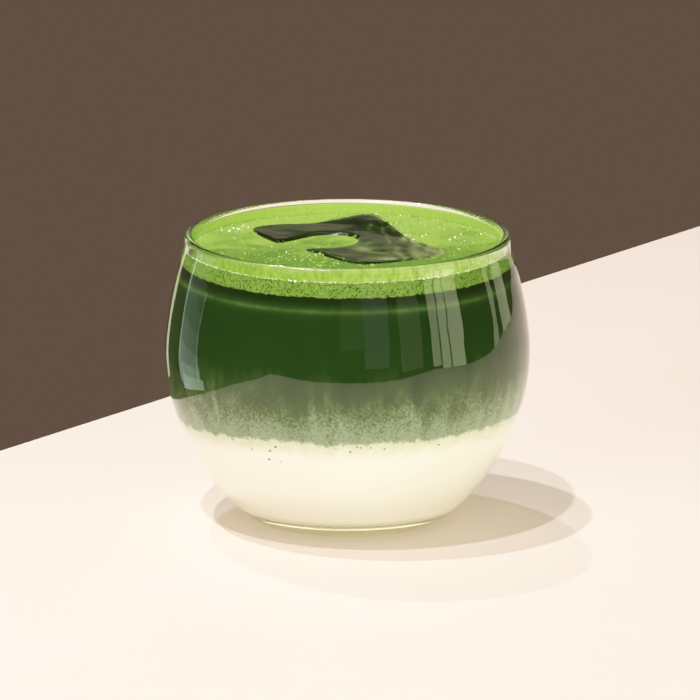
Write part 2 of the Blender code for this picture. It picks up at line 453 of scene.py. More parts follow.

# %% [markdown]
# What shows through the wall
#
# Milk, tea and foam touch the glass all the way up, so from the side they look like one
# picture on the inside of the wall: white milk, yellower near the floor of the glass as painted
# light from the table, a cloudy edge where tea sinks into it, the tea growing darker upward, a
# paler arc and a band of painted shade just under the foam, and a band of fine foam with dark
# pores. The three pieces share one colour field, worked out from the place on the piece, so
# no seam shows where one gives way to the next. They reach a little way into the wall, so
# that no air shows between.

# %% Levels, in millimetres
REACH = 0.15
MILK_LEVEL = 28.3
FOAM_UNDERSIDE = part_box("foam")[0].z / MM
FOAM_LEVEL = 68.2
MILK_RELIEF = 0.7
MILK_LOBES = (6.5, 9.0, 4.3)
MILK_TURNS = (0.9, 0.5, 2.0)
MILK_SHARES = (0.6, 0.4)
MILK_DROOP = 2.6
RELIEF_FADE = 9.0
OVERLAP = 0.15
print("foam from", round(FOAM_UNDERSIDE, 2), "to", FOAM_LEVEL, "mm")


def milk_surface(x, y):
    """How far the milk stands over its level: low lobes, and a droop at the left."""
    across_x = math.sin(x / MILK_LOBES[0] + MILK_TURNS[0])
    across_y = math.cos(y / MILK_LOBES[1] - MILK_TURNS[1])
    slant = math.sin((x + y) / MILK_LOBES[2] + MILK_TURNS[2])
    left = max(0.0, -x / wall_radius(MILK_LEVEL))
    relief = MILK_SHARES[0] * (across_x * across_y) + MILK_SHARES[1] * slant
    return MILK_RELIEF * relief - MILK_DROOP * left**4


# %% Colours through the wall
MILK = paint(250, 246, 236)
MILK_LOW_PAINTED_LIGHT = paint(252, 246, 224)
CLOUDY = paint(206, 212, 168)
TEA_STAGES = (
    (0.0, paint(134, 151, 122)),
    (0.1, paint(114, 134, 99)),
    (0.22, paint(78, 96, 55)),
    (0.34, paint(50, 70, 32)),
    (0.5, paint(24, 49, 14)),
    (0.95, paint(16, 40, 8)),
)
TEA_DEPTH = 36.0
TEA_PAINTED_SHADE = paint(12, 23, 5)
TEA_PAINTED_SHADE_HEIGHTS = (60.7, 63.0)
TEA_ARC = paint(74, 104, 48)
TEA_ARC_HEIGHT = 60.6
TEA_ARC_NARROW = 2.2
FOAM_SIDE = paint(64, 92, 26)
FOAM_SIDE_LIGHT = paint(108, 142, 58)
PORE = paint(28, 50, 10)
FOAM_SAG = 0.65


def milk_edge(recipe, x, y):
    """The height where milk gives way to tea: the solid's lobes with finer ones on them."""
    across_x = (x / MILK_LOBES[0] + MILK_TURNS[0]).sine()
    across_y = (y / MILK_LOBES[1] - MILK_TURNS[1]).cosine()
    slant = ((x + y) / MILK_LOBES[2] + MILK_TURNS[2]).sine()
    relief = (across_x * across_y * MILK_SHARES[0] + slant * MILK_SHARES[1]) * MILK_RELIEF
    left = (x / -wall_radius(MILK_LEVEL)).at_least(0.0)
    droop = left * left * left * left * MILK_DROOP
    lobes = cloud(recipe, place(recipe, scale=(1, 1, 0.6)), 0.2, detail=4.0, roughness=0.6)
    curds = cloud(recipe, place(recipe), 0.8, detail=4.0, roughness=0.65)
    return relief - droop + lobes * 2.0 + curds + MILK_LEVEL


def tea_colour(recipe, z, over_milk):
    """Dark green, paler and greyer down to the milk, with wisps of milk drawn upward, a paler arc
    and painted shade just under the foam.
    """
    drawn_up = place(recipe, scale=(1, 1, 0.3), turn=(0.2, 0.3, 0))
    wisps = cloud(recipe, drawn_up, 0.24, 4.0, 0.6, 0.8)
    billow = cloud(recipe, place(recipe, scale=(1, 1, 0.7)), 0.11, 4.0, 0.6, 1.0)
    depth = (over_milk + wisps * 6.0 + billow * 5.0) / TEA_DEPTH
    grain = cloud(recipe, place(recipe), 1.6, 3.0, 0.8) * (1.0 - rise(recipe, depth, 0.1, 0.5))
    colour = ramp(recipe, depth + grain * 0.42, TEA_STAGES)
    # Darker just under the foam: painted shade that the foam casts on the tea.
    dark = rise(recipe, z + wisps * 0.6, *TEA_PAINTED_SHADE_HEIGHTS)
    colour = blend(recipe, dark * 0.8, colour, TEA_PAINTED_SHADE)
    ring = (z - TEA_ARC_HEIGHT) * TEA_ARC_NARROW
    arc_share = 1.0 / (ring * ring + 1.0) * rise(recipe, wisps, -0.9, 0.7)
    return blend(recipe, arc_share * 0.75, colour, TEA_ARC)


def foam_side_colour(recipe):
    """Fine bubbles pressed on the glass: pale cell walls, dark pores, each a cell of its own."""
    where = place(recipe)
    fine = cells(recipe, where, 2.6, "DISTANCE_TO_EDGE")
    tone = rise(recipe, fine, 0.0, 0.26)
    colour = blend(recipe, tone, FOAM_SIDE_LIGHT, FOAM_SIDE)
    pores = 1.0 - rise(recipe, cells(recipe, where, 1.7), 0.25, 0.5)
    kept = rise(recipe, cells(recipe, where, 1.7, output="Color"), 0.25, 0.4)
    return blend(recipe, pores * kept * 0.9, colour, PORE)


def side_colour(recipe):
    """The whole picture, from the floor of the glass up to the top of the foam."""
    x, y, z = coordinates(recipe)
    over_milk = z - milk_edge(recipe, x, y)
    tea = tea_colour(recipe, z, over_milk)
    # Yellower towards the floor of the glass: painted warm light from the table below.
    milk = blend(recipe, rise(recipe, z, 4.0, 16.0), MILK_LOW_PAINTED_LIGHT, MILK)
    haze = cloud(recipe, place(recipe), 0.35, 3.0)
    milk = blend(recipe, rise(recipe, over_milk + haze * 2.0, -5.0, 0.8) * 0.8, milk, CLOUDY)
    colour = blend(recipe, rise(recipe, over_milk, -0.3, 0.8), milk, tea)
    scallops = cloud(recipe, place(recipe), 0.8, 2.0) * 0.5 + FOAM_UNDERSIDE - FOAM_SAG
    in_foam = rise(recipe, z - scallops, -0.08, 0.08)
    return blend(recipe, in_foam, colour, foam_side_colour(recipe))


def matt(recipe, colour):
    """Seen only through glass or ice, so it has no gloss of its own."""
    return recipe.coat({"Base Color": colour, "Roughness": 0.6, "Specular IOR Level": 0.0})


def side_finish(name):
    recipe = Recipe(name)
    return matt(recipe, side_colour(recipe))


# %% Outlines of the layers
AT_WALL = 0.01


def up_the_wall(low, high, steps):
    """(radius, height) points up the drink's side, both ends included."""
    heights = [low + (high - low) * step / steps for step in range(steps + 1)]
    return [(wall_radius(height) + REACH, height) for height in heights]


def across(radius, height, steps):
    """(radius, height) points from the axis outward, without the last."""
    return [(radius * step / steps, height) for step in range(steps)]


def set_level(bm, level, surface, reach):
    """Moves what is within reach of a level by a surface's height, along the wall at the side."""
    for vert in bm.verts:
        height = vert.co.z / MM
        share = 1.0 - abs(height - level) / reach
        if share <= 0.0:
            continue
        radius = vert.co.xy.length / MM
        at_wall = radius > wall_radius(height) + REACH - AT_WALL
        height += surface(vert.co.x / MM, vert.co.y / MM) * share
        vert.co.z = height * MM
        if at_wall:
            vert.co.xy *= (wall_radius(height) + REACH) / radius


# %% The milk
DRINK_SEGMENTS = 144
MILK_STEPS = 40
LOBE_RINGS = 20


def make_milk():
    top = MILK_LEVEL + OVERLAP
    floor = [(0.0, FLOOR - REACH), (COVE[0][1], FLOOR - REACH)]
    side = up_the_wall(COVE[1][0], top, MILK_STEPS)
    lid = across(side[-1][0], top, LOBE_RINGS)[::-1]
    bm = spun(in_metres(floor + side + lid), DRINK_SEGMENTS)
    set_level(bm, top, milk_surface, RELIEF_FADE)
    milk = add_object("milk_layer", bm, side_finish("milk_through_glass"))
    # Milk glows through, so what stands under it isn't in full shade.
    milk.visible_shadow = False
    hand_over(milk, "milk", "milk")


make_milk()

# %% [markdown]
# The ice
#
# A clear block that has begun to melt: a plan with soft corners, drawn down to a smaller
# bottom, with a rippled top and a hollow that foam has run into. The plan is extruded, its
# lower edge bevelled, and a relief cut over it, as in the solid. A voxel remesh and a little
# smoothing then round every edge at once, as melting does, which a bevel can't do where the
# relief runs out through the sides.

# %% The block's corners and relief, in millimetres
ICE_CORNERS = (
    (-24.2, 18.6),
    (-10.0, 21.9),
    (1.2, 27.9),
    (6.9, 27.6),
    (15.1, 8.0),
    (25.3, -11.0),
    (15.1, -18.7),
    (3.2, -23.0),
    (-5.8, -13.0),
    (-12.6, -4.8),
    (-19.7, 4.7),
)
ICE_BOTTOM = 46.0
ICE_TAPER = 0.84
ICE_ROUNDING = 4.0
ICE_RISE = 0.6
ICE_PEAK = (6.0, 27.0)
ICE_PEAK_RISE = 1.4
ICE_PEAK_WIDTH = 15.0
ICE_RIPPLE = 0.25
ICE_RIPPLES = (4.0, 6.0)
HOLLOW_HEAD = Vector((-4.6, 3.2))
HOLLOW_MOUTH = Vector((-17.0, -3.6))
HOLLOW_RADII = (6.6, 3.4)
HOLLOW_DEPTH = 2.5
HOLLOW_SLOPE = 3.0
ICE_VOXEL = 0.5


def hollow_share(x, y):
    """1 in the bottom of the hollow, 0 on the ice beside it."""
    along = HOLLOW_MOUTH - HOLLOW_HEAD
    spot = Vector((x, y)) - HOLLOW_HEAD
    share = min(1.0, max(0.0, spot.dot(along) / along.length_squared))
    radius = HOLLOW_RADII[0] + (HOLLOW_RADII[1] - HOLLOW_RADII[0]) * share
    inside = (radius - (spot - share * along).length) / HOLLOW_SLOPE + 0.5
    inside = min(1.0, max(0.0, inside))
    return inside**2 * (3 - 2 * inside)


def ice_top(x, y):
    """Height of the ice: low ripples, a peak at the far corner and the melted hollow."""
    peak = math.hypot(x - ICE_PEAK[0], y - ICE_PEAK[1]) / ICE_PEAK_WIDTH
    over = ICE_RISE + ICE_PEAK_RISE * math.exp(-(peak**2))
    over += ICE_RIPPLE * math.sin((x + 0.5 * y) / ICE_RIPPLES[0]) * math.cos(y / ICE_RIPPLES[1])
    share = hollow_share(x, y)
    return FOAM_LEVEL + over * (1 - share) - HOLLOW_DEPTH * share


# %% The plan extruded, and the relief that trims it
ABOVE_ALL = RIM_HEIGHT + 5.0
BELOW_ICE = ICE_BOTTOM - 10.0
CORNER_STEPS = 6
RELIEF_CELLS = 90
RELIEF_REACH = 30.0


def ice_prism():
    bm = bmesh.new()
    outline = curve_through(ICE_CORNERS, CORNER_STEPS, closed=True)
    middle = sum(outline, Vector((0, 0))) / len(outline)
    top = ABOVE_ALL * MM
    face = bm.faces.new([bm.verts.new((*(corner * MM), top)) for corner in outline])
    pulled = bmesh.ops.extrude_face_region(bm, geom=[face])["geom"]
    for vert in of_kind(pulled, bmesh.types.BMVert):
        spot = (middle + (vert.co.xy / MM - middle) * ICE_TAPER) * MM
        vert.co = (*spot, ICE_BOTTOM * MM)
    low = [e for e in bm.edges if all(v.co.z < (ICE_BOTTOM + 1) * MM for v in e.verts)]
    bmesh.ops.bevel(
        bm,
        geom=low,
        offset=ICE_ROUNDING * MM,
        segments=4,
        profile=0.5,
        affect="EDGES",
        material=-1,
    )
    bmesh.ops.recalc_face_normals(bm, faces=bm.faces)
    return bm


def ice_relief():
    """A block with the ice's top, wider than the ice, to intersect with its prism."""
    bm = bmesh.new()
    grid = {"x_segments": RELIEF_CELLS, "y_segments": RELIEF_CELLS, "size": RELIEF_REACH * MM}
    bmesh.ops.create_grid(bm, **grid)
    rim = [edge for edge in bm.edges if edge.is_boundary]
    skirt = bmesh.ops.extrude_edge_only(bm, edges=rim)["geom"]
    for vert in bm.verts:
        vert.co.z = ice_top(vert.co.x / MM, vert.co.y / MM) * MM
    for vert in of_kind(skirt, bmesh.types.BMVert):
        vert.co.z = BELOW_ICE * MM
    bmesh.ops.contextual_create(bm, geom=of_kind(skirt, bmesh.types.BMEdge))
    bmesh.ops.recalc_face_normals(bm, faces=bm.faces)
    return bm


def combine(obj, operation, other):
    """Cuts or intersects by another object, which is then removed."""
    modifier = obj.modifiers.new(operation.lower(), "BOOLEAN")
    modifier.operation = operation
    modifier.solver = "MANIFOLD"
    modifier.object = other
    settle(obj)
    bpy.data.objects.remove(other)


# %% Wet clear ice
ICE_IOR = 1.31
ICE_DIMPLES = 0.3 * MM


def ice_finish():
    recipe = Recipe("clear_ice")
    streaks = cloud(recipe, place(recipe, scale=(0.5, 1, 1), turn=(0, 0, -0.4)), 0.1, 1.0)
    dimples = cloud(recipe, place(recipe), 0.18, 0.0)
    return recipe.coat(
        {
            "Base Color": paint(244, 248, 240),
            "Roughness": 0.18,
            "IOR": ICE_IOR,
            "Transmission Weight": 1.0,
            "Normal": bump(recipe, streaks + dimples * 0.25, ICE_DIMPLES),
        }
    )


def make_ice():
    ice = add_object("ice_block", ice_prism(), ice_finish())
    combine(ice, "INTERSECT", add_object("relief", ice_relief()))
    remesh = ice.modifiers.new("remesh", "REMESH")
    remesh.mode = "VOXEL"
    remesh.voxel_size = ICE_VOXEL * MM
    remesh.use_smooth_shade = True
    smooth = ice.modifiers.new("smooth", "SMOOTH")
    smooth.factor = 0.5
    smooth.iterations = 3
    settle(ice)
    ice.visible_shadow = False
    hand_over(ice, "ice", "ice")
    return ice


ICE = make_ice()


# %% A slightly smaller copy of the ice, to cut its room from tea and foam
POCKET_DARK = paint(16, 42, 5)
POCKET_MIDDLE = paint(58, 84, 26)
POCKET_PAINTED_REFLECTION = paint(160, 170, 110)
ICE_OVERLAP = 0.1


def pocket_finish(name):
    """What shows through the ice: dark tea, with lighter streaks and a lighter front and right
    painted in as reflections on the wet ice.
    """
    recipe = Recipe(name)
    x, y, _ = coordinates(recipe)
    streaks = cloud(recipe, place(recipe, scale=(0.25, 1, 1), turn=(0, 0, -0.3)), 0.22, 2.0, 0.5)
    # Painted reflections on the wet ice: lighter streaks, and lighter to the front and right.
    light = streaks * 2.1 + x * 0.014 - y * 0.034 + 0.15
    stops = ((0.0, POCKET_DARK), (0.5, POCKET_MIDDLE), (1.0, POCKET_PAINTED_REFLECTION))
    return matt(recipe, ramp(recipe, rise(recipe, light, -0.7, 0.9), stops))


def room_for_ice(slots):
    """The drink reaches a little way into the ice; its new faces take the last of the slots."""
    bm = bmesh.new()
    bm.from_mesh(ICE.data)
    bm.normal_update()
    for vert, normal in [(vert, vert.normal.copy()) for vert in bm.verts]:
        vert.co -= normal * ICE_OVERLAP * MM
    for face in bm.faces:
        face.material_index = len(slots) - 1
    return add_object("room_for_ice", bm, *slots)


# %% The tea
TEA_STEPS = 48
LID_RINGS = 8


def make_tea():
    low = MILK_LEVEL - OVERLAP
    high = FOAM_UNDERSIDE + OVERLAP
    side = up_the_wall(low, high, TEA_STEPS)
    bottom = across(side[0][0], low, LOBE_RINGS)
    lid = across(side[-1][0], high, LID_RINGS)[::-1]
    bm = spun(in_metres(bottom + side + lid), DRINK_SEGMENTS)
    set_level(bm, low, milk_surface, RELIEF_FADE)
    slots = [side_finish("tea_through_glass"), pocket_finish("tea_through_ice")]
    tea = add_object("tea_layer", bm, *slots)
    combine(tea, "DIFFERENCE", room_for_ice(slots))
    hand_over(tea, "matcha", "matcha")


make_tea()

# %% [markdown]
# The foam
#
# Whisked matcha foam, like wet velvet: bubbles too fine to see one by one, larger ones where
# it gathers, and an edge that sags a little at the glass. The slab is spun with many rings so
# that it can swell and sag, and the finest bubbles are a bump. The larger ones come
# afterwards, as real domes.

# %% The foam's surface, in millimetres
EDGE_DROP = 0.75
EDGE_WIDTH = 1.6
FOAM_RELIEF = 0.15
FOAM_SWELLS = (7.0, 5.5)
FOAM_TOP = paint(126, 166, 58)
FOAM_TOP_LIGHT = paint(156, 192, 90)
FOAM_TOP_DEEP = paint(66, 108, 18)
FOAM_DIMPLES = 0.12 * MM
WET_IOR = 1.33


def foam_surface(x, y):
    """How far the foam stands over its level: low swells, and a drop at the wall."""
    swell = math.sin(x / FOAM_SWELLS[0] + 1.1) * math.sin(y / FOAM_SWELLS[1] + 0.3)
    inset = max(0.0, wall_radius(FOAM_LEVEL) - math.hypot(x, y))
    return FOAM_RELIEF * swell - EDGE_DROP * math.exp(-inset / EDGE_WIDTH)


def foam_top_finish():
    """Mottled, with painted light brighter to the back and painted shade darker to the front, and
    a dark and light grain to the front.
    """
    recipe = Recipe("foam_top")
    where = place(recipe)
    y = coordinates(recipe)[1]
    mottle = cloud(recipe, where, 0.13, 4.0, 0.6, 0.6)
    specks = cloud(recipe, where, 1.6, 2.0)
    front = 1.0 - rise(recipe, y, -24.0, -4.0)
    # The slope along y and the darker front are painted light and shade; the mottle and specks
    # are the foam's own.
    light = mottle * 1.6 + specks * (front + 0.4) + y * 0.034 - front * 0.25 - 0.05
    colour = blend(recipe, rise(recipe, light, -0.8, 0.8), FOAM_TOP_DEEP, FOAM_TOP)
    fine = cells(recipe, where, 2.6)
    colour = blend(recipe, (1.0 - rise(recipe, fine, 0.0, 0.5)) * 0.5, colour, FOAM_TOP_LIGHT)
    froth = (1.0 - fine * fine) + cells(recipe, where, 1.1) * -0.4
    return recipe.coat(
        {
            "Base Color": colour,
            "Roughness": 0.42,
            "IOR": WET_IOR,
            "Normal": bump(recipe, froth, FOAM_DIMPLES, 0.6),
        }
    )


# %% The slab, with its own finish on top
FOAM_STEPS = 8
FOAM_RINGS = 70
UNDERSIDE_RINGS = 4
FACES_UP = 0.3
TOP_ZONE = 1.0


def make_foam():
    low = FOAM_UNDERSIDE - OVERLAP
    side = up_the_wall(low, FOAM_LEVEL, FOAM_STEPS)
    bottom = across(side[0][0], low, UNDERSIDE_RINGS)
    lid = across(side[-1][0], FOAM_LEVEL, FOAM_RINGS)[::-1]
    bm = spun(in_metres(bottom + side + lid), DRINK_SEGMENTS)
    set_level(bm, FOAM_LEVEL, foam_surface, (FOAM_LEVEL - FOAM_UNDERSIDE) / 2)
    bm.normal_update()
    for face in bm.faces:
        high = face.calc_center_median().z > (FOAM_LEVEL - TOP_ZONE) * MM
        face.material_index = 1 if high and face.normal.z > FACES_UP else 0
    side_slot = side_finish("foam_through_glass")
    slots = [side_slot, foam_top_finish(), pocket_finish("foam_through_ice")]
    foam = add_object("foam_cap", bm, *slots)
    combine(foam, "DIFFERENCE", room_for_ice(slots))
    hand_over(foam, "foam", "foam")
    print("faces per slot:", np.bincount([p.material_index for p in foam.data.polygons]))
    return foam


FOAM = make_foam()

# %% [markdown]
# Bubbles and specks
#
# What is larger than the fine froth is real geometry: domes on the foam, thick along the ice
# and where froth gathers, white beads that are painted glints, a string of bubbles where the
# foam meets the wall, and specks of tea powder that have sunk into the milk. Each kind is one
# joined mesh of small spheres, placed by a seeded rule, so the same ones come back each time.

# %% Many small spheres in one mesh
ROUND = (1.0, 1.0, 1.0)
FLAT = (0.25, 1.0, 1.0)


def spheres(name, spots, finish, sides=(10, 6)):
    """A copy of one small sphere for each (place, radius, flatness along an axis)."""
    bm = bmesh.new()
    bmesh.ops.create_uvsphere(bm, u_segments=sides[0], v_segments=sides[1], radius=1.0)
    corners = np.array([vert.co for vert in bm.verts])
    faces = [[vert.index for vert in face.verts] for face in bm.faces]
    bm.free()
    points = []
    for centre, radius, squash in spots:
        turn = Matrix.Rotation(math.atan2(centre.y, centre.x), 3, "Z")
        points.append((corners * squash * radius) @ np.array(turn).T + np.array(centre))
    mesh = bpy.data.meshes.new(name)
    copies = [
        [corner + copy * len(corners) for corner in face]
        for copy in range(len(spots))
        for face in faces
    ]
    mesh.from_pydata(np.concatenate(points) * MM, [], copies)
    mesh.shade_smooth()
    return in_scene(name, mesh, finish)


# %% How bubbles look, how large they are, and where the foam is
BUBBLE_IOR = 1.4
BUBBLE_MARGIN = 0.6
LOWEST_FOAM = FOAM_LEVEL - 0.8
FOAM_TREE = BVHTree.FromPolygons(
    [vert.co for vert in FOAM.data.vertices],
    [polygon.vertices for polygon in FOAM.data.polygons],
)


def bubble_finish(name, dark, light):
    recipe = Recipe(name)
    tone = cloud(recipe, place(recipe), 0.9, 2.0)
    colour = blend(recipe, rise(recipe, tone, -0.4, 0.4), dark, light)
    return recipe.coat({"Base Color": colour, "Roughness": 0.11, "IOR": BUBBLE_IOR})


def bubble_radius(draw, least, more, power):
    """Mostly close to the least radius, and seldom as much as that plus more."""
    return least + more * draw.random() ** power


def on_foam(x, y):
    """The foam's surface under a point, or nothing over the ice or too close to the wall."""
    if math.hypot(x, y) >= wall_radius(FOAM_LEVEL) - BUBBLE_MARGIN:
        return None
    hit = FOAM_TREE.ray_cast(Vector((x, y, ABOVE_ALL)) * MM, Vector((0, 0, -1)))[0]
    if hit is None or hit.z < LOWEST_FOAM * MM:
        return None
    return hit / MM


# %% Domes on the foam: x, y, spread and count of each cluster, in millimetres
CLUSTERS = (
    (-29.0, 20.0, 3.2, 70),
    (-26.5, 13.5, 1.6, 24),
    (12.0, 26.0, 2.4, 40),
    (17.0, 12.0, 2.0, 30),
    (29.0, 4.0, 5.0, 46),
    (26.0, 22.0, 4.0, 40),
    (-4.0, -20.0, 3.0, 50),
    (-12.0, -12.0, 3.4, 40),
    (-22.0, -17.0, 4.0, 80),
    (-8.0, -23.0, 4.0, 80),
    (8.0, -25.0, 4.0, 80),
    (22.0, -19.0, 4.0, 60),
)
LOOSE_BUBBLES = 560
LOOSE_MARGIN = 0.8
SHORE_BUBBLES = 220
SHORE_SPREAD = 0.45
DOME_SIZES = (0.13, 0.36, 4)
SHORE_SIZES = (0.08, 0.3, 3)


def bubble_places(draw):
    """Places for bubbles: loose ones everywhere, then the clusters where froth gathers."""
    reach = wall_radius(FOAM_LEVEL) - LOOSE_MARGIN
    for _ in range(LOOSE_BUBBLES):
        angle, radius = draw.uniform(0, math.tau), reach * math.sqrt(draw.random())
        yield radius * math.cos(angle), radius * math.sin(angle)
    for x, y, spread, count in CLUSTERS:
        for _ in range(count):
            yield draw.gauss(x, spread), draw.gauss(y, spread)


def ice_shore():
    """Where the foam's top meets the ice: corners shared by top faces and cut faces."""
    shared = [set(), set()]
    for polygon in FOAM.data.polygons:
        if polygon.material_index:
            shared[polygon.material_index - 1].update(polygon.vertices)
    return [FOAM.data.vertices[index].co / MM for index in sorted(shared[0] & shared[1])]


def scatter_domes():
    draw = random.Random(11)
    spots = []
    for x, y in bubble_places(draw):
        hit = on_foam(x, y)
        if hit is not None:
            radius = bubble_radius(draw, *DOME_SIZES)
            spots.append((hit - Vector((0, 0, radius * 0.25)), radius, ROUND))
    for spot in draw.choices(ice_shore(), k=SHORE_BUBBLES):
        radius = bubble_radius(draw, *SHORE_SIZES)
        shift = Vector((draw.gauss(0, SHORE_SPREAD), draw.gauss(0, SHORE_SPREAD), -0.05))
        spots.append((spot + shift, radius, ROUND))
    return spots


SKIN = bubble_finish("bubble_skin", paint(92, 130, 38), paint(140, 176, 78))
hand_over(spheres("foam_bubbles", scatter_domes(), SKIN), "foam")


# %% White beads on the foam: painted glints where the wet froth catches the light
SPARKS = (
    (-27.6, 17.0, 1.5, 22),
    (-29.0, 27.0, 0.6, 3),
    (-25.0, 20.0, 1.0, 6),
    (10.5, 22.0, 1.6, 12),
    (15.5, 9.0, 2.2, 12),
    (19.0, 24.0, 7.0, 16),
    (27.0, 10.0, 5.0, 12),
    (-12.0, -10.0, 3.0, 7),
    (0.0, -4.0, 20.0, 18),
)
BEAD_SIZES = (0.1, 0.16, 3)


def sparks():
    draw = random.Random(31)
    spots = []
    for x, y, spread, count in SPARKS:
        for _ in range(count):
            hit = on_foam(draw.gauss(x, spread), draw.gauss(y, spread))
            if hit is not None:
                radius = bubble_radius(draw, *BEAD_SIZES)
                spots.append((hit + Vector((0, 0, radius * 0.5)), radius, ROUND))
    return spots


# Near-white beads stand in for the lamps' glints on wet froth: painted highlights.
PAINTED_GLINTS = bubble_finish("painted_glints", paint(236, 246, 216), paint(255, 255, 250))
hand_over(spheres("painted_glint_beads", sparks(), PAINTED_GLINTS), "foam")


# %% A string of bubbles where the foam meets the glass
STRING_SIZES = (0.1, 0.26, 2)
STRING_SPACING = (1.9, 4.2)
STRING_WAVER = 0.12


def string_of_bubbles():
    draw = random.Random(5)
    spots = []
    angle = 0.0
    level = FOAM_LEVEL - EDGE_DROP
    wall = wall_radius(level)
    while angle < math.tau:
        radius = bubble_radius(draw, *STRING_SIZES)
        spot = (wall - radius * 0.2) * Vector((math.cos(angle), math.sin(angle)))
        height = level + draw.uniform(-STRING_WAVER, STRING_WAVER)
        spots.append((Vector((*spot, height)), radius, ROUND))
        angle += radius * draw.uniform(*STRING_SPACING) / wall
    return spots


STRING_SKIN = bubble_finish("wall_bubble_skin", paint(96, 130, 44), paint(244, 250, 216))
hand_over(spheres("wall_bubbles", string_of_bubbles(), STRING_SKIN), "foam")

# %% [markdown]
# The film over the foam
#
# When the glass was filled, froth ran up its inside and drained again, and left a broken
# film between the foam and the rim. It is a shell a few hundredths of a millimetre thick
# against the wall, that a streaky mask lets the light through.

# %% A thin ring on the wall
FILM_DARK = paint(108, 150, 44)
FILM_LIGHT = paint(158, 194, 88)
FILM_COVER = 0.92
FILM_THICK = 0.05
FILM_GAP = 0.01
FILM_SWEEP = (175, 115)
FILM_STEPS = 6


def film_finish():
    recipe = Recipe("foam_film")
    x, y, z = coordinates(recipe)
    streaks = cloud(recipe, place(recipe, scale=(1, 1, 0.5)), 0.9, 3.0)
    beads = 1.0 - rise(recipe, cells(recipe, place(recipe), 1.5), 0.12, 0.36)
    height = rise(recipe, z + streaks * 0.5, FOAM_LEVEL + 1.0, FOAM_LEVEL + 3.6)
    cover = (1.0 - height * 0.35) * rise(recipe, streaks - beads * 0.5, -1.2, 0.1)
    back = rise(recipe, y, -10.0, 20.0)
    light = (streaks + beads) * (1.0 - back * 0.8) + x * 0.014 * (1.0 - back) + back * 0.55
    colour = blend(recipe, rise(recipe, light, -0.5, 0.9), FILM_DARK, FILM_LIGHT)
    recipe.coat({"Base Color": colour, "Roughness": 0.35, "IOR": WET_IOR})
    # The bead itself is wet with froth at the front only.
    on_bead = rise(recipe, z, BEAD_CENTRE[1], BEAD_CENTRE[1] + 0.6)
    kept = 1.0 - on_bead * (back * 0.9 + 0.1)
    cover = blend_values(recipe, back * 0.7, cover, 1.0)
    return recipe.see_through(cover * kept * FILM_COVER)


def make_film():
    low, high = FOAM_LEVEL - EDGE_DROP, BEAD_CENTRE[1]
    heights = [low + (high - low) * step / FILM_STEPS for step in range(FILM_STEPS + 1)]
    outside = [(wall_radius(height) - FILM_GAP, height) for height in heights]
    outside += arc(BEAD_CENTRE, RIM_BEAD + FILM_GAP, *FILM_SWEEP, FILM_STEPS)
    inside = [(r - FILM_THICK, z) for r, z in outside[::-1]]
    bm = spun(in_metres(outside + inside), GLASS_SEGMENTS, ring=True)
    film = add_object("foam_film", bm, film_finish())
    film.visible_shadow = False
    hand_over(film, "foam")


make_film()


# %% Specks of tea powder
def on_wall(x, z):
    """A place on the front of the drink, just outside its surface."""
    radius = wall_radius(z) + REACH
    return Vector((x, -math.sqrt(radius**2 - x**2), z))


def round_the_wall(angle, height):
    """A place on the drink's side, at an angle from the right."""
    radius = wall_radius(height) + REACH
    return Vector((radius * math.cos(angle), radius * math.sin(angle), height))


FRONT_SPECKS = (
    (-18.3, 25.8),
    (-17.0, 27.0),
    (-18.5, 23.4),
    (-15.8, 23.1),
    (0.7, 26.7),
    (8.8, 27.2),
    (21.6, 26.9),
    (32.4, 26.1),
    (-22.5, 25.5),
)
BACK_SPECKS = 26
BACK_HALF = (0.15, math.pi - 0.15)
EDGE_SPECKS = 150
MILK_EDGE_RADIUS = 41.0
POWDER_DARK = paint(58, 88, 34)
POWDER_LIGHT = paint(96, 130, 56)


def specks():
    """The ones in front, some round the back, and a fine line along the milk's edge."""
    draw = random.Random(23)
    spots = [(on_wall(x, z), draw.uniform(0.2, 0.36), FLAT) for x, z in FRONT_SPECKS]
    for _ in range(BACK_SPECKS):
        angle = draw.uniform(*BACK_HALF)
        height = MILK_LEVEL - 0.8 - 5.0 * draw.random() ** 2
        spots.append((round_the_wall(angle, height), draw.uniform(0.14, 0.34), FLAT))
    for _ in range(EDGE_SPECKS):
        angle = draw.uniform(0, math.tau)
        x, y = MILK_EDGE_RADIUS * math.cos(angle), MILK_EDGE_RADIUS * math.sin(angle)
        height = MILK_LEVEL + milk_surface(x, y) + draw.gauss(0.3, 0.6)
        spots.append((round_the_wall(angle, height), draw.uniform(0.08, 0.26), FLAT))
    return spots


def speck_finish():
    recipe = Recipe("tea_powder")
    tone = cloud(recipe, place(recipe), 0.7, 2.0)
    colour = blend(recipe, rise(recipe, tone, -0.3, 0.3), POWDER_DARK, POWDER_LIGHT)
    return recipe.coat({"Base Color": colour, "Roughness": 0.7, "Specular IOR Level": 0.0})


hand_over(spheres("tea_specks", specks(), speck_finish(), sides=(8, 5)), "matcha")

# %% [markdown]
# The table
#
# Not part of the object: a plain pale slab to stand it on. It ends a hand's width from the
# glass at the back and the left, and beyond it there is only a dim warm room, which the glass
# shows at its edges.

# %% A slab with a softened edge
TABLE_THICK = 18.0
TABLE_SOFTENING = 1.5
TABLE_CORNERS = ((600.0, 1003.0), (-451.0, -430.0), (600.0, -430.0))
TABLE_DARK = paint(236, 220, 205)
TABLE_LIGHT = paint(240, 224, 210)


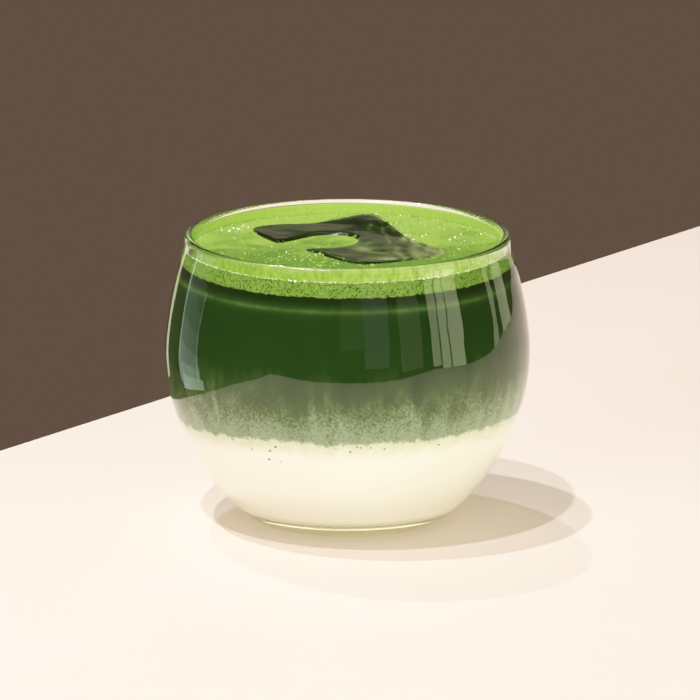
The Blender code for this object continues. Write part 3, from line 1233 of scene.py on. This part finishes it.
def make_table():
    recipe = Recipe("pale_table")
    tone = cloud(recipe, place(recipe), 0.012, 3.0)
    colour = blend(recipe, rise(recipe, tone, -1.0, 1.0), TABLE_DARK, TABLE_LIGHT)
    finish = recipe.coat({"Base Color": colour, "Roughness": 0.55, "Specular IOR Level": 0.3})
    bm = bmesh.new()
    top = bm.faces.new([bm.verts.new((x * MM, y * MM, 0)) for x, y in TABLE_CORNERS])
    below = bmesh.ops.extrude_face_region(bm, geom=[top])["geom"]
    lowered = of_kind(below, bmesh.types.BMVert)
    bmesh.ops.translate(bm, vec=(0, 0, -TABLE_THICK * MM), verts=lowered)
    bmesh.ops.recalc_face_normals(bm, faces=bm.faces)
    bmesh.ops.bevel(
        bm,
        geom=bm.edges[:],
        offset=TABLE_SOFTENING * MM,
        segments=3,
        profile=0.5,
        affect="EDGES",
        material=-1,
    )
    add_object("table", bm, finish)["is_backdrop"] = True


make_table()

# %% [markdown]
# Light
#
# One large soft panel overhead, three small lamps that give the soft round shadows and the
# glints on the rim, two low fills at the front sides that nothing mirrors, and upright panels
# all round for the reflections in the glass. Milk glows through, which is slow to trace for
# real, so a weak lamp in the floor of the glass stands in for it. The small lamps don't show
# in what the glass bends, only in what it mirrors.

# %% Panels and lamps
def lamp(name, spot, aim, size, watts, colour=(1.0, 1.0, 1.0), shape="DISK"):
    data = bpy.data.lights.new(name, "AREA")
    data.shape = shape
    data.size = size[0]
    data.size_y = size[-1]
    data.energy = watts
    data.color = colour
    light = bpy.data.objects.new(name, data)
    light.location = spot
    away = Vector(spot) - Vector(aim)
    light.rotation_euler = away.to_track_quat("Z", "Y").to_euler()
    light.visible_camera = False
    light.visible_transmission = False
    bpy.context.scene.collection.objects.link(light)
    return light


BELLY = Vector((0.0, 0.0, 0.04))
WARM = (1.0, 0.947, 0.97)
AMBER = (1.0, 0.925, 0.81)


def overhead(name, lean, height, size, watts):
    """A lamp over the glass; lean is how far it stands off for each metre of height."""
    spot = BELLY + Vector((lean[0], lean[1], 1.0)) * height
    return lamp(name, spot, BELLY, size, watts, WARM)


overhead("lamp_front", (-0.22, -0.29), 0.8, (0.018,), 4.8)
overhead("lamp_top", (-0.3, 0.0), 1.4, (0.03,), 14.5)
overhead("lamp_back", (-0.28, 0.58), 1.4, (0.03,), 9.5)
lamp("milk_glow", (0, 0, 0.0034), (0, 0, 0), (0.036,), 0.0055, (1.0, 0.95, 0.5))
ceiling = lamp("ceiling", (0.0, 0.0, 1.6), (0, 0, 0), (1.8, 1.6), 9.0, AMBER, "RECTANGLE")
ceiling.visible_transmission = True
for name, x in (("fill_left", -1.15), ("fill_right", 1.15)):
    fill = lamp(name, (x, -1.15, 0.36), BELLY, (1.2, 0.6), 26.0, AMBER, "RECTANGLE")
    fill.visible_glossy = False

# %% Upright panels that the glass mirrors
PANEL_DISTANCE = 1.2
COOL = (0.78, 1.0, 0.86)
OLIVE = (0.95, 1.0, 0.6)
FADE_STEPS = 7
FADE_RISE = 0.09
FADE_FOOT = 0.33
FADE_FIRST = 2.4
FADE_SHARE = 0.66


def panel(name, azimuth, height, size, radiance, colour):
    """A panel that faces the glass; azimuth 0 is behind the camera, and it grows to the left."""
    angle = math.radians(azimuth)
    spot = (-PANEL_DISTANCE * math.sin(angle), -PANEL_DISTANCE * math.cos(angle), height)
    watts = radiance * math.pi * size[0] * size[1]
    return lamp(name, spot, (0, 0, height), size, watts, colour, "RECTANGLE")


# A pane at the left that fades upward, in strips.
for step in range(FADE_STEPS):
    height = FADE_RISE * step - FADE_FOOT
    radiance = FADE_FIRST * FADE_SHARE**step
    panel(f"left_{step}", 115 + step, height, (0.5, FADE_RISE), radiance, COOL)

# Panes and strips: azimuth, height, width, tallness, radiance and colour.
for name, azimuth, height, width, tall, radiance, colour in (
    ("left_streak", 129, -0.08, 0.035, 0.5, 1.6, COOL),
    ("left_thin", 107, -0.1, 0.02, 0.46, 1.4, COOL),
    ("left_edge", 156, 0.0, 0.14, 0.6, 1.4, OLIVE),
    ("right_near", -57, 0.22, 0.12, 0.46, 3.0, OLIVE),
    ("right_middle", -64, 0.2, 0.13, 0.5, 3.8, OLIVE),
    ("right_far", -73, 0.2, 0.22, 0.5, 3.8, OLIVE),
    ("right_streak", -108, 0.1, 0.1, 0.5, 1.8, OLIVE),
    ("right_edge", -122, 0.1, 0.24, 0.5, 1.8, OLIVE),
    ("front_left", -3, 0.32, 0.3, 0.34, 0.2, OLIVE),
    ("front_middle", -18, 0.3, 0.34, 0.5, 0.4, WARM),
    ("front_right", -40, 0.3, 0.3, 0.6, 0.5, OLIVE),
    ("back", 172, 0.36, 0.8, 0.16, 0.45, OLIVE),
):
    window = panel(name, azimuth, height, (width, tall), radiance, colour)
    window.visible_transmission = True
print("lamps and panels:", len(bpy.data.lights))

# %% The dim room
ROOM = paint(97, 79, 66)
world = bpy.data.worlds.new("dim_room")
world.use_nodes = True
world.node_tree.nodes["Background"].inputs["Color"].default_value = ROOM
world.cycles.sampling_method = "NONE"
bpy.context.scene.world = world

# %% [markdown]
# Camera and picture tone
#
# A long lens from 1.6 metres, 13.7 degrees above the table. The pale table is brighter than
# a picture can show, so a soft shoulder holds its tone and leaves the dark tea as it is.

# %% Camera
LENS = 333.7
SENSOR = 36.0
ELEVATION = math.radians(13.73)
DISTANCE = 1.6
AIM_UP = 0.00547
AIM_RIGHT = 0.00064
MIDDLE = Vector((0.0, 0.0, 0.036))

forward = Vector((0.0, math.cos(ELEVATION), -math.sin(ELEVATION)))
camera_up = Vector((0.0, math.sin(ELEVATION), math.cos(ELEVATION)))
camera_data = bpy.data.cameras.new("camera")
camera_data.lens = LENS
camera_data.sensor_width = SENSOR
camera = bpy.data.objects.new("camera", camera_data)
bpy.context.scene.collection.objects.link(camera)
camera.location = MIDDLE + camera_up * AIM_UP + Vector((AIM_RIGHT, 0, 0)) - forward * DISTANCE
camera.rotation_euler = forward.to_track_quat("-Z", "Y").to_euler()
bpy.context.scene.camera = camera

# %% Tone
TONE = ((0.0, 0.0), (0.15, 0.15), (0.3, 0.285), (0.6, 0.5), (1.0, 0.7), (1.5, 0.9), (2.0, 1.0))
ALL_CHANNELS = 3
view = bpy.context.scene.view_settings
view.view_transform = "Standard"
view.use_curve_mapping = True
mapping = view.curve_mapping
mapping.white_level = [TONE[-1][0]] * 3
curve = mapping.curves[ALL_CHANNELS]
curve.points[0].location = TONE[0]
curve.points[-1].location = (1.0, TONE[-1][1])
for light_in, light_out in TONE[1:-1]:
    curve.points.new(light_in / TONE[-1][0], light_out)
mapping.update()

# %% Sizes, and the end
VISUAL_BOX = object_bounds()
boxes = {"cad": CAD_BOX, "visual": VISUAL_BOX}
{name: [list(corner) for corner in box] for name, box in boxes.items()}
print("visual box", [[round(v / MM, 2) for v in corner] for corner in VISUAL_BOX])
